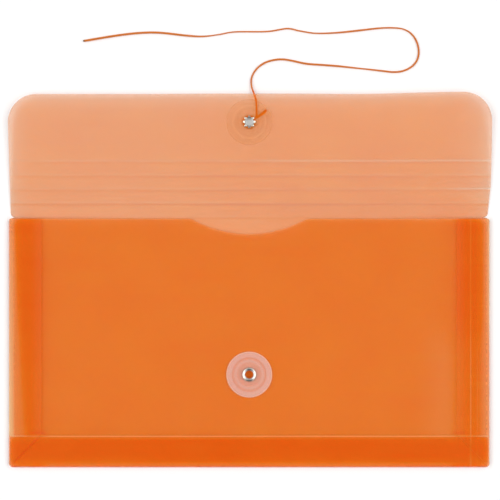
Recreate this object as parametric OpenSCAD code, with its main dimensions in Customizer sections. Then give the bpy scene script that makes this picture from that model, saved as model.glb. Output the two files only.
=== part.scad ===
// Button and string envelope, lying open on its back.
// A translucent polypropylene pocket has a bellows on three sides, a scored flap,
// two string buttons riveted on with eyelets, and a tie string on the flap's button.
// X runs across the pocket, Y from the bottom fold to the flap, Z up from the table.
// The origin is the middle of the back panel's outer face.

/* [Film] */
// Thickness of the polypropylene film
film_t = 0.45; // [0.35:0.05:0.6]
// Inside radius of the rolled folds
fold_r = 0.225; // [0.2:0.025:0.4]
// Depth of the crease and score lines, on each face of the film
score_depth = 0.03; // [0.02:0.01:0.06]
// Clearance between the two sides of a flap crease
crease_clear = 0.06; // [0.05:0.01:0.1]

/* [Pocket] */
// Width over the side folds
pocket_w = 254; // [220:1:330]
// Height from the bottom fold to the flap's root crease
pocket_h = 132; // [110:1:240]
// Corner radius of the pocket, seen from above
corner_r = 2.5; // [2:0.25:5]
// Depth of a bellows leaf, from the pocket's edge to the inner fold
leaf_depth = 17; // [12:0.5:24]
// Clear height between the two leaves of a closed bellows
leaf_gap = 0.4; // [0.3:0.05:0.8]
// Clearance along the mitred corners of the bellows
mitre_gap = 0.3; // [0.2:0.05:0.6]
// How far the pocket's mouth edge sits below the root crease
mouth_drop = 0.6; // [0.5:0.1:3]
// Height of the score line across the front panel, above the bottom edge
front_score_h = 16.5; // [8:0.5:30]
// Width of that score line
front_score_w = 0.5; // [0.3:0.1:0.8]

/* [Thumb notch] */
// Width of the notch at the mouth edge
notch_w = 61; // [40:1:90]
// Depth of the notch
notch_depth = 8.1; // [6:0.1:14]
// Radius that eases the two ends of the notch
notch_ease_r = 8; // [2:0.5:12]

/* [Flap] */
// Length from the root crease to the free edge
flap_len = 65.3; // [55:0.1:90]
// How much narrower than the pocket the flap is at its root, on each side
flap_inset = 0.75; // [0.5:0.05:2]
// How much the flap widens from root to free edge, on each side
flap_flare = 1.7; // [0:0.1:4]
// Radius of the two free corners
flap_corner_r = 15; // [8:0.5:20]
// Distance from one score line of the flap to the next
score_pitch = 7.35; // [5:0.05:9]

/* [Buttons] */
// Diameter of a button
button_d = 24.2; // [18:0.2:26]
// Thickness of a button at its seat
button_t = 1; // [0.8:0.1:1.6]
// Diameter of the flat seat round the eyelet
seat_d = 9.6; // [8.6:0.2:11]
// How far the rim is dished away from the film
button_dish = 0.35; // [0.2:0.05:0.6]
// Radius of the rolled rim
rim_r = 0.45; // [0.35:0.05:0.6]
// Depth of the two turned grooves in the button's face
groove_depth = 0.15; // [0.1:0.01:0.25]
// Radial distance from the rim to the outer groove, and from that to the inner one
groove_step = 2.8; // [2:0.1:3.2]
// Height of the pocket's button above the bottom edge
pocket_button_h = 49.1; // [35:0.1:90]
// Distance of the flap's button from the free edge
flap_button_inset = 14.8; // [13.2:0.1:20]
// Running clearance between a button and the barrel of its eyelet
button_clear = 0.06; // [0.03:0.01:0.1]
// End play of a button under its eyelet's flange
button_play = 0.1; // [0.05:0.01:0.2]

/* [Eyelets] */
// Bore of an eyelet
eyelet_bore = 4.2; // [3.6:0.1:4.8]
// Wall of the barrel
eyelet_wall = 0.35; // [0.3:0.05:0.5]
// Diameter of the rolled flange
flange_d = 7.6; // [6.8:0.1:8.4]
// Height of the rolled flange
flange_h = 0.55; // [0.4:0.05:0.7]
// Diameter over the clinched petals
petal_d = 6.5; // [6:0.1:7.5]
// Height of the clinched petals
petal_h = 0.5; // [0.35:0.05:0.7]
// Number of petals
petal_count = 8; // [6:1:10]
// Angle of the split between two petals
petal_split = 20; // [12:1:26]

/* [String] */
// Diameter of the string
string_d = 1.1; // [0.8:0.1:1.4]
// Room above and below the string's loop, between the flap and its button
string_room = 0.075; // [0.05:0.025:0.15]
// Diameter of the knot
knot_d = 2.2; // [1.8:0.1:2.8]

/* [Hidden] */
$fn = 64;

film_colour = [0.93, 0.47, 0.2, 0.8];
button_colour = [0.92, 0.66, 0.58, 0.7];
nickel_colour = [0.75, 0.75, 0.77];
string_colour = [0.92, 0.4, 0.1];

// A rolled fold turns the film half round, about the middle of the fold
fold_mid_r = fold_r + film_t / 2;
fold_out_r = fold_r + film_t;

// Heights of the closed pocket's layers, to the middle of the film
back_z = film_t / 2;
lower_axis_z = back_z + fold_mid_r;
lower_leaf_z = lower_axis_z + fold_mid_r;
upper_leaf_z = lower_leaf_z + film_t + leaf_gap;
upper_axis_z = upper_leaf_z + fold_mid_r;
front_z = upper_axis_z + fold_mid_r;
stack_h = front_z + film_t / 2;

// Plan places of the pocket
root_y = pocket_h / 2;
mouth_y = root_y - mouth_drop;
bottom_y = -pocket_h / 2;
side_axis_x = pocket_w / 2 - fold_out_r;
bottom_axis_y = bottom_y + fold_out_r;
leaf_len = leaf_depth - fold_out_r;
pocket_button_y = bottom_y + pocket_button_h;

// The fold stops short of its panel by the angle that the leaf swings as the pocket opens
leaf_swing = 33;
fold_stop_margin = 4;
fold_end_angle = 270 - leaf_swing - fold_stop_margin;

// The thumb notch is one arc, eased at both ends by arcs that touch it and the mouth edge
notch_r = (pow(notch_w / 2, 2) + pow(notch_depth, 2)) / (2 * notch_depth);
notch_rise = notch_r - notch_depth;
notch_ease_x = sqrt(pow(notch_r + notch_ease_r, 2) - pow(notch_rise + notch_ease_r, 2));
notch_touch = [notch_ease_x, -notch_rise - notch_ease_r] * notch_r / (notch_r + notch_ease_r);

// The flap lies in its own plane: its root crease is y = 0 and its film's middle z = 0
strip_count = 4;
flap_root_half = pocket_w / 2 - flap_inset;
flap_tip_half = flap_root_half + flap_flare;
flap_side_angle = atan2(flap_flare, flap_len);
bead_r = film_t / 2 - score_depth;
cup_r = bead_r + crease_clear;

// Eyelets and buttons
bore_r = eyelet_bore / 2;
barrel_r = bore_r + eyelet_wall;
flange_r = flange_d / 2;
petal_r = petal_d / 2;
film_hole_r = barrel_r + button_clear;
rim_centre_r = button_d / 2 - rim_r;
outer_groove_r = button_d / 2 - groove_step - rim_r;
inner_groove_r = outer_groove_r - groove_step;
button_stack = button_t + button_play;
string_gap = string_d + 2 * string_room;
flap_eyelet_y = flap_len - flap_button_inset;

// A rolled flange is a round bead over its chord: the radius and the depth of its centre
function bead_radius(width, height) = (pow(width / 2, 2) + pow(height, 2)) / (2 * height);
flange_bead_r = bead_radius(flange_r - bore_r, flange_h);
flange_mid_r = (flange_r + bore_r) / 2;

// The open flap lies on its button or its eyelet's flange, so it is tilted about the root crease.
// Each is a round edge of radius r, with its centre at y and at a drop below the film's middle.
function rest_tilt(y, drop, r) = atan2(drop, y) + asin((r - back_z) / norm([y, drop]));
button_drop = film_t / 2 + string_gap;
flange_tilt = rest_tilt(flap_eyelet_y - flange_mid_r,
    button_drop + button_stack + flange_h - flange_bead_r, flange_bead_r);
rim_tilt = rest_tilt(flap_eyelet_y - rim_centre_r, button_drop + button_dish + rim_r, rim_r);
flap_tilt = max(flange_tilt, rim_tilt);

// The string's route over the table, from the knot to its free end.
// X and Y are measured from the flap's eyelet, Z from the table.
string_route = [
    [4, 2, 2.75], [4, 10, 3.1], [3, 14, 2.7], [1.5, 18.5, 1.5], [1.5, 22.5, 0.8],
    [2.5, 25.5, 0.6], [5.5, 29, 0.6], [9, 31.5, 0.6], [13.5, 32.5, 0.6], [18, 33, 0.6],
    [22.5, 32.5, 0.6], [30.5, 30.5, 0.6], [39, 30, 0.6], [47.5, 29.5, 0.6], [56, 28.5, 0.6],
    [64.5, 27.5, 0.6], [72.5, 26.5, 0.6], [77, 26.5, 0.6], [81, 27, 0.6], [85.5, 28.5, 0.6],
    [88, 31.5, 0.6], [89.5, 35.5, 0.6], [89.5, 40, 0.6], [88, 44, 0.6], [83.5, 48, 0.6],
    [77, 49.5, 0.6], [68.5, 49.5, 0.6], [51.5, 47.5, 0.6], [43, 47, 0.6], [34.5, 47, 0.6],
    [26, 48, 0.6], [20, 49, 0.6], [9.5, 47.5, 0.6], [-7.5, 47.5, 0.6], [-16, 46, 0.6],
    [-24.5, 45, 0.6], [-33, 45.5, 0.6], [-50, 47, 0.6], [-66.5, 46, 0.6], [-88, 42.5, 0.6]
];
string_sides = 8;
string_steps = 2;
knot_at = [4, 2];
tail_end = [9.5, 6];

// A rectangle with four round corners, from y0 to y1
module round_plan(half_w, y0, y1, r) {
    translate([-half_w, y0 + r])
        square([2 * half_w, y1 - y0 - 2 * r]);
    translate([-half_w + r, y0])
        square([2 * half_w - 2 * r, y1 - y0]);
    for (x = [-half_w + r, half_w - r], y = [y0 + r, y1 - r])
        translate([x, y])
            circle(r);
}

// The pocket's panels lie between the fold axes
module panel_plan(y1) {
    intersection() {
        round_plan(pocket_w / 2, bottom_y, y1, corner_r);
        translate([-side_axis_x, bottom_axis_y])
            square([2 * side_axis_x, y1 - bottom_axis_y]);
    }
}

module notch_plan() {
    translate([0, mouth_y + notch_rise])
        circle(notch_r, $fn = 180);
    for (side = [-1, 1])
        translate([0, mouth_y])
            difference() {
                polygon([[side * notch_touch[0], notch_rise + notch_touch[1]],
                    [side * notch_ease_x, 0],
                    [side * notch_ease_x, mouth_drop],
                    [side * notch_touch[0], mouth_drop]]);
                translate([side * notch_ease_x, -notch_ease_r])
                    circle(notch_ease_r);
            }
}

// Back panel: a plain sheet, with the bead of the flap's root crease on its top edge
module back_panel() {
    color(film_colour) {
        linear_extrude(film_t)
            panel_plan(root_y);
        translate([0, root_y, back_z])
            rotate([0, 90, 0])
                cylinder(r = bead_r, h = 2 * (flap_root_half - corner_r), center = true);
    }
}

// Front panel: thumb notch, eyelet hole and one score line
module front_panel() {
    color(film_colour)
        translate([0, 0, front_z - film_t / 2])
            difference() {
                linear_extrude(film_t)
                    difference() {
                        panel_plan(mouth_y);
                        notch_plan();
                        translate([0, pocket_button_y])
                            circle(film_hole_r);
                    }
                translate([0, bottom_y + front_score_h, film_t])
                    rotate([0, 90, 0])
                        linear_extrude(pocket_w, center = true)
                            polygon([[score_depth, 0], [-score_depth, front_score_w],
                                [-score_depth, -front_score_w]]);
            }
}

// One bellows leaf with its rolled fold, about the fold's middle
module leaf_section() {
    translate([0, fold_r])
        square([leaf_len, film_t]);
    intersection() {
        difference() {
            circle(fold_out_r);
            circle(fold_r);
        }
        polygon([[0, 0], for (i = [0 : 4])
            let (a = 90 + i * (fold_end_angle - 90) / 4)
                2 * fold_out_r * [cos(a), sin(a)]]);
    }
}

// Where the leaves lie in plan: mitred at 45 degrees in the two bottom corners
module leaf_zone(is_side) {
    mitre = mitre_gap / sqrt(2);
    reach = leaf_depth + film_t;
    left = -pocket_w / 2;
    side_zone = [[left, bottom_y + mitre], [left + reach, bottom_y + reach + mitre],
        [left + reach, mouth_y], [left, mouth_y]];
    bottom_zone = [[left + mitre, bottom_y], [-left - mitre, bottom_y],
        [-left - reach - mitre, bottom_y + reach], [left + reach + mitre, bottom_y + reach]];
    intersection() {
        polygon(is_side ? side_zone : bottom_zone);
        round_plan(pocket_w / 2, bottom_y, root_y, corner_r);
    }
}

// A lower leaf lies above its fold's middle, an upper leaf below it
module left_leaf(is_upper) {
    color(film_colour)
        intersection() {
            translate([-side_axis_x, mouth_y, is_upper ? upper_axis_z : lower_axis_z])
                rotate([90, 0, 0])
                    linear_extrude(pocket_h)
                        mirror([0, is_upper ? 1 : 0])
                            leaf_section();
            linear_extrude(stack_h)
                leaf_zone(true);
        }
}

module right_leaf(is_upper) {
    mirror([1, 0, 0])
        left_leaf(is_upper);
}

module bottom_leaf(is_upper) {
    color(film_colour)
        intersection() {
            translate([-pocket_w / 2, bottom_axis_y, is_upper ? upper_axis_z : lower_axis_z])
                rotate([90, 0, 90])
                    linear_extrude(pocket_w)
                        mirror([0, is_upper ? 1 : 0])
                            leaf_section();
            linear_extrude(stack_h)
                leaf_zone(false);
        }
}

// The flap's outline: a slightly flared sheet with small root corners and large free ones
module flap_plan() {
    side = [cos(flap_side_angle), -sin(flap_side_angle)];
    root = [flap_root_half + corner_r * tan(flap_side_angle) - corner_r / side[0], corner_r];
    tip_y = flap_len - flap_corner_r;
    tip = [flap_root_half + tip_y * tan(flap_side_angle) - flap_corner_r / side[0], tip_y];
    half = [root - [0, corner_r], root + corner_r * side,
        tip + flap_corner_r * side, tip + [0, flap_corner_r]];
    polygon([for (p = half) p, for (i = [3 : -1 : 0]) [-half[i][0], half[i][1]]]);
    for (x = [-1, 1]) {
        translate([x * root[0], root[1]])
            circle(corner_r);
        translate([x * tip[0], tip[1]])
            circle(flap_corner_r);
    }
}

// A piece of the flap between two creases: a cup on its near edge and a bead on its far edge
module flap_piece(near_y, far_y, has_bead) {
    half_w = flap_tip_half + film_t;
    difference() {
        intersection() {
            translate([0, 0, -film_t / 2])
                linear_extrude(film_t)
                    flap_plan();
            union() {
                translate([-half_w, near_y, -film_t])
                    cube([2 * half_w, far_y - near_y, 2 * film_t]);
                if (has_bead)
                    translate([0, far_y, 0])
                        rotate([0, 90, 0])
                            cylinder(r = bead_r, h = 2 * half_w, center = true);
            }
        }
        translate([0, near_y, 0])
            rotate([0, 90, 0])
                cylinder(r = cup_r, h = 2 * half_w + film_t, center = true);
    }
}

// Puts what is drawn in the flap's own plane where the open flap lies
module on_flap() {
    translate([0, root_y, back_z])
        rotate([flap_tilt, 0, 0])
            children();
}

module flap_strip(number) {
    color(film_colour)
        on_flap()
            flap_piece((number - 1) * score_pitch, number * score_pitch, true);
}

module flap_lid() {
    color(film_colour)
        on_flap()
            difference() {
                flap_piece(strip_count * score_pitch, flap_len, false);
                translate([0, flap_eyelet_y, 0])
                    cylinder(r = film_hole_r, h = 2 * film_t, center = true);
            }
}

// A rolled bead over the chord from the bore to an outer radius, in the revolved profile
module rolled_bead(outer_r, height) {
    r = bead_radius(outer_r - bore_r, height);
    intersection() {
        translate([(outer_r + bore_r) / 2, height - r])
            circle(r);
        translate([bore_r, 0])
            square([outer_r - bore_r, height]);
    }
}

// An eyelet that grips a stack: its petals bear on z = 0, its flange on z = grip
module eyelet(grip) {
    difference() {
        rotate_extrude() {
            translate([bore_r, 0])
                square([eyelet_wall, grip]);
            translate([0, grip])
                rolled_bead(flange_r, flange_h);
            mirror([0, 1])
                rolled_bead(petal_r, petal_h);
        }
        for (i = [0 : petal_count - 1])
            rotate(i * 360 / petal_count)
                translate([bore_r + eyelet_wall / 2, 0, -petal_h])
                    linear_extrude(petal_h)
                        polygon([[0, 0], petal_r * [1, tan(petal_split / 2)],
                            petal_r * [1, -tan(petal_split / 2)]]);
    }
}

// A moulded button: seat, dished web with two turned grooves, rolled rim. Its seat is z = 0.
module button() {
    rim_mid = button_dish + rim_r;
    web_half = rim_r * 2 / 3;
    hole_r = barrel_r + button_clear;
    slope = (rim_mid + web_half - button_t) / (rim_centre_r - seat_d / 2);
    rotate_extrude($fn = 128) {
        difference() {
            polygon([[hole_r, 0], [seat_d / 2, 0], [rim_centre_r, rim_mid - web_half],
                [rim_centre_r, rim_mid + web_half], [seat_d / 2, button_t], [hole_r, button_t]]);
            for (r = [inner_groove_r, outer_groove_r])
                translate([r, button_t + slope * (r - seat_d / 2)])
                    rotate(45)
                        square(groove_depth * sqrt(2), center = true);
        }
        translate([rim_centre_r, rim_mid])
            circle(rim_r);
    }
}

module pocket_button() {
    color(button_colour)
        translate([0, pocket_button_y, stack_h])
            button();
}

module pocket_eyelet() {
    color(nickel_colour)
        translate([0, pocket_button_y, stack_h - film_t])
            eyelet(film_t + button_stack);
}

// On the flap the button faces the table, below the string's loop
module at_flap_eyelet() {
    on_flap()
        translate([0, flap_eyelet_y, film_t / 2])
            mirror([0, 0, 1])
                children();
}

module flap_button() {
    color(button_colour)
        at_flap_eyelet()
            translate([0, 0, film_t + string_gap])
                button();
}

module flap_eyelet() {
    color(nickel_colour)
        at_flap_eyelet()
            eyelet(film_t + string_gap + button_stack);
}

// The string is tied round the barrel between flap and button: loop, knot and short tail
module string_knot() {
    tail = tail_end - knot_at;
    color(string_colour)
        at_flap_eyelet()
            translate([0, 0, film_t + string_gap / 2]) {
                rotate_extrude()
                    translate([film_hole_r + string_d / 2, 0])
                        circle(d = string_d);
                translate(knot_at) {
                    cylinder(d = knot_d, h = string_d + string_room, center = true);
                    rotate([0, 90, atan2(tail[1], tail[0])])
                        cylinder(d = string_d, h = norm(tail));
                }
            }
}

// A smooth line through the route: each step blends the four nearest points
function blend_point(a, b, c, d, t) =
    b + t / 2 * (c - a + t * (2 * a - 5 * b + 4 * c - d + t * (3 * (b - c) + d - a)));

function smooth_line(route, steps) =
    let (last = len(route) - 1)
    [for (i = [0 : last - 1], s = [0 : steps - 1])
        blend_point(route[max(i - 1, 0)], route[i], route[i + 1],
            route[min(i + 2, last)], s / steps),
    route[last]];

// A round tube along a line that never stands upright
module tube(line, r, sides) {
    last = len(line) - 1;
    rings = [for (i = [0 : last])
        let (along = line[min(i + 1, last)] - line[max(i - 1, 0)])
        let (left = cross([0, 0, 1], along) / norm(cross([0, 0, 1], along)))
        let (up = cross(along, left) / norm(along))
        for (k = [0 : sides - 1])
            line[i] + r * (cos(360 * k / sides) * left + sin(360 * k / sides) * up)];
    walls = [for (i = [0 : last - 1], k = [0 : sides - 1])
        let (a = i * sides + k, b = i * sides + (k + 1) % sides)
        for (face = [[a, a + sides, b + sides], [a, b + sides, b]])
            face];
    caps = [[for (k = [0 : sides - 1]) k], [for (k = [sides - 1 : -1 : 0]) last * sides + k]];
    polyhedron(rings, concat(walls, caps));
}

module tie_string() {
    color(string_colour)
        translate([0, root_y + flap_eyelet_y * cos(flap_tilt), 0])
            tube(smooth_line(string_route, string_steps), string_d / 2, string_sides);
}

back_panel();
front_panel();
left_leaf(false);  // left_leaf_lower
left_leaf(true);  // left_leaf_upper
right_leaf(false);  // right_leaf_lower
right_leaf(true);  // right_leaf_upper
bottom_leaf(false);  // bottom_leaf_lower
bottom_leaf(true);  // bottom_leaf_upper
for (i = [1 : strip_count])
    flap_strip(i);
flap_lid();
pocket_button();
pocket_eyelet();
flap_button();
flap_eyelet();
string_knot();
tie_string();
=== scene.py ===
from math import asin, atan, atan2, cos, degrees, exp, hypot, pi, radians, sin, sqrt

import bmesh
import bpy
import numpy as np
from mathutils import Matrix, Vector
from mathutils.geometry import delaunay_2d_cdt


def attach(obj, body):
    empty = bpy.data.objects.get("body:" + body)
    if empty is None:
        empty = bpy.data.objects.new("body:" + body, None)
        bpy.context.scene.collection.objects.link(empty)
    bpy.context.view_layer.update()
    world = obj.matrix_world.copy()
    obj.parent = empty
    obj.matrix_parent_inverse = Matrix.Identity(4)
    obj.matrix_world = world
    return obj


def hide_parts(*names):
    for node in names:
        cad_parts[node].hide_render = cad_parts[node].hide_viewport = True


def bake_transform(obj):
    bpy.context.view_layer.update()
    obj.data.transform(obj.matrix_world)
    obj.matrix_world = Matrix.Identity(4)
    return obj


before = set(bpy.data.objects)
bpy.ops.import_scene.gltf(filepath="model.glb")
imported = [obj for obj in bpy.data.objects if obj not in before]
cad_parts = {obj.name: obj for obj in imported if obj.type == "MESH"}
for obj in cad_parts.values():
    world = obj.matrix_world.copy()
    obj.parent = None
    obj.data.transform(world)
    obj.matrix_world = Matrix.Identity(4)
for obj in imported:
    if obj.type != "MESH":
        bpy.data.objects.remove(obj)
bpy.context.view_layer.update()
scene = bpy.context.scene
scene.view_settings.view_transform = "Standard"


# Camera: the photograph looks straight down on the open envelope, from about three quarters
# of a metre, through a lens of 100 mm on a 36 mm sensor.
camera_lens = bpy.data.cameras.new("camera")
camera_lens.lens = 100
camera_lens.sensor_width = 36
camera = bpy.data.objects.new("camera", camera_lens)
camera.location = (0.0004, 0.0488, 0.7362)
scene.collection.objects.link(camera)
scene.camera = camera


# Tie string: three plies of waxed orange thread, tied under the flap's button and left loose on the table.
# It is a three-lobed section swept along the string's route, turns once in every lay, and swells and thins.
# The button presses its first stretch, which lies under the flap's film and is painted a deeper red there:
# painted shade, tinted as by the film. A hot blade left a dark tip at its far end.
MM = 0.001
flap_tilt = radians(3.68259)
flap_eyelet_y = 50.5
root_y = 66
string_d = 1.1
string_r = 0.56
string_lay = 3.6
string_step = 0.3
ply_groove = 0.24
end_rounding = 0.5
tip_length = 1.2
lying_z = 0.6
string_route = [
    (3.85, 2, 2.75), (3.75, 10, 3.1), (2.85, 14, 2.7), (1.35, 18.5, 1.5), (1.05, 22.4, 0.8),
    *((x, y, lying_z) for x, y in (
        (2.15, 25.8), (4.65, 29.1), (8.3, 31.55), (12.4, 32.9), (17, 33.4), (22, 32.8), (30, 31.1),
        (39, 30.4), (47.5, 29.75), (56, 28.85), (64.5, 27.95), (71, 27.2), (76.4, 26.65), (81.3, 27.2),
        (85.9, 29.4), (88.9, 33), (89.8, 37.7), (88.6, 42.9), (85.7, 47.1), (81.2, 49.5), (75, 50.1),
        (68.5, 49.85), (60, 48.9), (51.5, 47.95), (43, 47.3), (34.5, 47.25), (26.5, 48.5), (20, 49.7),
        (9.5, 48.15), (-7.5, 47.95), (-16, 46.55), (-24.5, 45.55), (-33, 45.95), (-50, 47.6), (-66.5, 46.5),
        (-88, 43.05))),
]
string_girth = [
    (0, 1), (12, 1), (18, 0.82), (23, 0.8), (33, 0.95), (70, 0.98), (85, 0.7), (98, 0.9), (128, 0.88),
    (136, 0.7), (164, 0.94), (182, 0.68), (197, 0.76), (218, 0.71), (238, 0.62), (252, 0.98), (306, 1.1),
]


def put(tree, kind, sockets=None, **settings):
    """Adds a node. A socket's value is a number or colour, or another node's output."""
    node = tree.nodes.new(kind)
    for name, value in settings.items():
        setattr(node, name, value)
    for name, value in (sockets or {}).items():
        if isinstance(value, bpy.types.NodeSocket):
            tree.links.new(value, node.inputs[name])
        else:
            node.inputs[name].default_value = value
    return node


def made(tree, kind, sockets=None, **settings):
    """Adds a node and returns its first output."""
    return put(tree, kind, sockets, **settings).outputs[0]


def calc(tree, operation, *values):
    """The output of a Math node."""
    return made(tree, "ShaderNodeMath", dict(enumerate(values)), operation=operation)


def times(tree, a, b):
    return calc(tree, "MULTIPLY", a, b)


def mixed(tree, factor, a, b):
    """A colour mix; a and b are colours or other nodes' outputs."""
    return put(tree, "ShaderNodeMix", {0: factor, 6: a, 7: b}, data_type="RGBA").outputs[2]


def noise(tree, where, scale, detail, roughness=0.5):
    """The value of a noise texture."""
    return made(tree, "ShaderNodeTexNoise", {
        "Vector": where, "Scale": scale, "Detail": detail, "Roughness": roughness})


def attribute(tree, name, output="Fac"):
    return put(tree, "ShaderNodeAttribute", attribute_name=name).outputs[output]


def climb(tree, value, start, end, top=1.0):
    """Goes from zero, where the value is at the start, to the top at the end."""
    return made(tree, "ShaderNodeMapRange", {
        "Value": value, "From Min": start, "From Max": end, "To Max": top})


def new_group(name, kind, inputs, outputs):
    """A node group whose sockets have names and types, and the outputs of its input node."""
    group = bpy.data.node_groups.new(name, kind)
    for way, sockets in (("INPUT", inputs), ("OUTPUT", outputs)):
        for socket, socket_type in sockets.items():
            group.interface.new_socket(socket, in_out=way, socket_type="NodeSocket" + socket_type)
    return group, put(group, "NodeGroupInput").outputs


def new_material(name, sockets):
    """A material with one Principled shader, whose plain values are set on its own sockets."""
    material = bpy.data.materials.new(name)
    material.use_nodes = True
    shader = material.node_tree.nodes["Principled BSDF"]
    for socket, value in sockets.items():
        shader.inputs[socket].default_value = value
    return material, material.node_tree


def surface(tree, tone, relief, strength, distance, rough=None):
    """Gives a material its tone and the bump of a relief, which can make its roughness uneven too."""
    shader = tree.nodes["Principled BSDF"]
    tree.links.new(tone, shader.inputs["Base Color"])
    bump = made(tree, "ShaderNodeBump", {"Height": relief, "Strength": strength, "Distance": distance})
    tree.links.new(bump, shader.inputs["Normal"])
    if rough:
        uneven = calc(tree, "ADD", rough[0], times(tree, relief, rough[1]))
        tree.links.new(uneven, shader.inputs["Roughness"])


def new_mesh(verts, faces, edges=(), **marks):
    """A mesh, with named values at its points."""
    mesh = bpy.data.meshes.new("mesh")
    mesh.from_pydata(verts, edges, faces)
    for name, values in marks.items():
        mesh.attributes.new(name, "FLOAT", "POINT").data.foreach_set("value", values)
    return mesh


def smooth_line(route, steps=8):
    """A smooth line through the route, as the solid string has it."""
    points = [Vector(p) for p in (route[0], *route, route[-1])]
    line = []
    for a, b, c, d in zip(points, points[1:], points[2:], points[3:]):
        for t in [step / steps for step in range(steps)]:
            line.append(b + t / 2 * (c - a + t * (2 * a - 5 * b + 4 * c - d + t * (3 * (b - c) + d - a))))
    return line + points[-1:]


def geo(tree, kind, sockets=None, **settings):
    """Adds a Geometry Nodes node and returns its first output."""
    return made(tree, "GeometryNode" + kind, sockets, **settings)


def twisted_cord_tree():
    """Sweeps a three-lobed section along an edge path, turning with the attribute along."""
    tree, given = new_group(
        "twisted_cord", "GeometryNodeTree",
        {"Path": "Geometry", "Radius": "Float", "Lay": "Float", "Step": "Float", "Groove": "Float",
         "Round End": "Float", "Material": "Material"}, {"Cord": "Geometry"})
    place = put(tree, "GeometryNodeSplineParameter").outputs
    whole = geo(tree, "SplineLength")
    along = geo(tree, "InputNamedAttribute", {"Name": "along"})
    girth = geo(tree, "InputNamedAttribute", {"Name": "girth"})

    around = times(tree, place["Factor"], 3 * pi)
    crest = calc(tree, "ABSOLUTE", calc(tree, "COSINE", around))
    hollow = times(tree, given["Groove"], calc(tree, "SUBTRACT", 1, crest))
    lobes = times(tree, given["Radius"], calc(tree, "SUBTRACT", 1, hollow))
    ring = geo(tree, "CurvePrimitiveCircle", {"Resolution": 24, "Radius": 1})
    unit = geo(tree, "InputPosition")
    ring = geo(tree, "StoreNamedAttribute", {"Geometry": ring, "Name": "ply", "Value": unit},
               data_type="FLOAT_VECTOR")
    ring = geo(tree, "StoreNamedAttribute", {"Geometry": ring, "Name": "crest", "Value": crest})
    scaled = made(tree, "ShaderNodeVectorMath", {0: unit, "Scale": lobes}, operation="SCALE")
    section = geo(tree, "SetPosition", {"Geometry": ring, "Position": scaled})

    line = geo(tree, "MeshToCurve", {"Mesh": given["Path"]})
    line = geo(tree, "ResampleCurve", {"Curve": line, "Length": given["Step"]}, mode="LENGTH")
    turn = calc(tree, "DIVIDE", times(tree, along, 2 * pi), given["Lay"])
    line = geo(tree, "SetCurveTilt", {"Curve": line, "Tilt": turn})
    from_end = calc(tree, "MINIMUM", place["Length"], calc(tree, "SUBTRACT", whole, place["Length"]))
    inward = calc(tree, "SUBTRACT", 1, calc(tree, "DIVIDE", from_end, given["Round End"]))
    inward = calc(tree, "MINIMUM", calc(tree, "MAXIMUM", inward, 0), 0.9)
    rounded = calc(tree, "SQRT", calc(tree, "SUBTRACT", 1, times(tree, inward, inward)))
    cord = geo(tree, "CurveToMesh", {
        "Curve": line, "Profile Curve": section, "Scale": times(tree, rounded, girth), "Fill Caps": True})
    cord = geo(tree, "SetShadeSmooth", {"Geometry": cord})
    cord = geo(tree, "RealizeInstances", {"Geometry": cord})
    cord = geo(tree, "SetMaterial", {"Geometry": cord, "Material": given["Material"]})
    put(tree, "NodeGroupOutput", {"Cord": cord})
    return tree


def run_tree(mesh, tree, values):
    """Runs a node tree on a mesh and returns the result as a plain mesh."""
    source = bpy.data.objects.new("source", mesh)
    scene.collection.objects.link(source)
    modifier = source.modifiers.new("tree", "NODES")
    modifier.node_group = tree
    for item in tree.interface.items_tree:
        if item.in_out == "INPUT" and item.name in values:
            modifier[item.identifier] = values[item.name]
    graph = bpy.context.evaluated_depsgraph_get()
    result = bpy.data.meshes.new_from_object(source.evaluated_get(graph))
    source.modifiers.remove(modifier)
    bpy.data.objects.remove(source)
    return result


def reaches(line):
    """How far along a line each of its points lies."""
    return np.cumsum([0.0, *((b - a).length for a, b in zip(line, line[1:]))])


def cord_mesh(line, radius=string_r, closed=False, girth=((0, 1),)):
    """One length of the string along a line of points in millimetres; girth is its swelling by distance."""
    edges = [(i, (i + 1) % len(line)) for i in range(len(line) - 1 + closed)]
    reach = reaches(line)
    path = new_mesh([p * MM for p in line], [], edges, along=reach * MM, girth=np.interp(reach, *zip(*girth)))
    return run_tree(path, twisted_cord, {
        "Radius": radius * MM, "Lay": string_lay * MM, "Step": string_step * MM, "Groove": ply_groove,
        "Round End": (1e-4 if closed else end_rounding) * MM, "Material": string_material})


def add_piece(name, mesh):
    mesh.name = name
    piece = bpy.data.objects.new(name, mesh)
    scene.collection.objects.link(piece)
    return piece


eyelet_spot = Vector((0, root_y + flap_eyelet_y * cos(flap_tilt), 0))
string_line = [eyelet_spot + p for p in smooth_line(string_route)]
for point, width in zip(string_line, np.interp(reaches(string_line), *zip(*string_girth))):
    point.z += string_r * (float(width) - 1)
string_length = float(reaches(string_line)[-1])

string_material, tree = new_material("waxed_thread", {
    "Roughness": 0.62, "Specular IOR Level": 0.25, "Sheen Weight": 0.25, "Sheen Roughness": 0.4,
    "Sheen Tint": (1.0, 0.75, 0.55, 1)})
ply = attribute(tree, "ply", "Vector")
crest = attribute(tree, "crest")
along = attribute(tree, "along")
around = put(tree, "ShaderNodeSeparateXYZ", {0: ply}).outputs
far_along = times(tree, along, 260)
unwound = made(tree, "ShaderNodeCombineXYZ", {"X": around["X"], "Y": around["Y"], "Z": far_along})
fibres = noise(tree, unwound, 7, 4, 0.6)
slubs = noise(tree, unwound, 1.3, 2)
# The grooves between the plies are painted darker than the crests: painted shade.
thread_tone = mixed(tree, crest, (0.385, 0.058, 0.002, 1), (0.75, 0.175, 0.006, 1))
thread_tone = mixed(tree, times(tree, slubs, 0.5), thread_tone, (0.77, 0.28, 0.035, 1))
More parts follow.
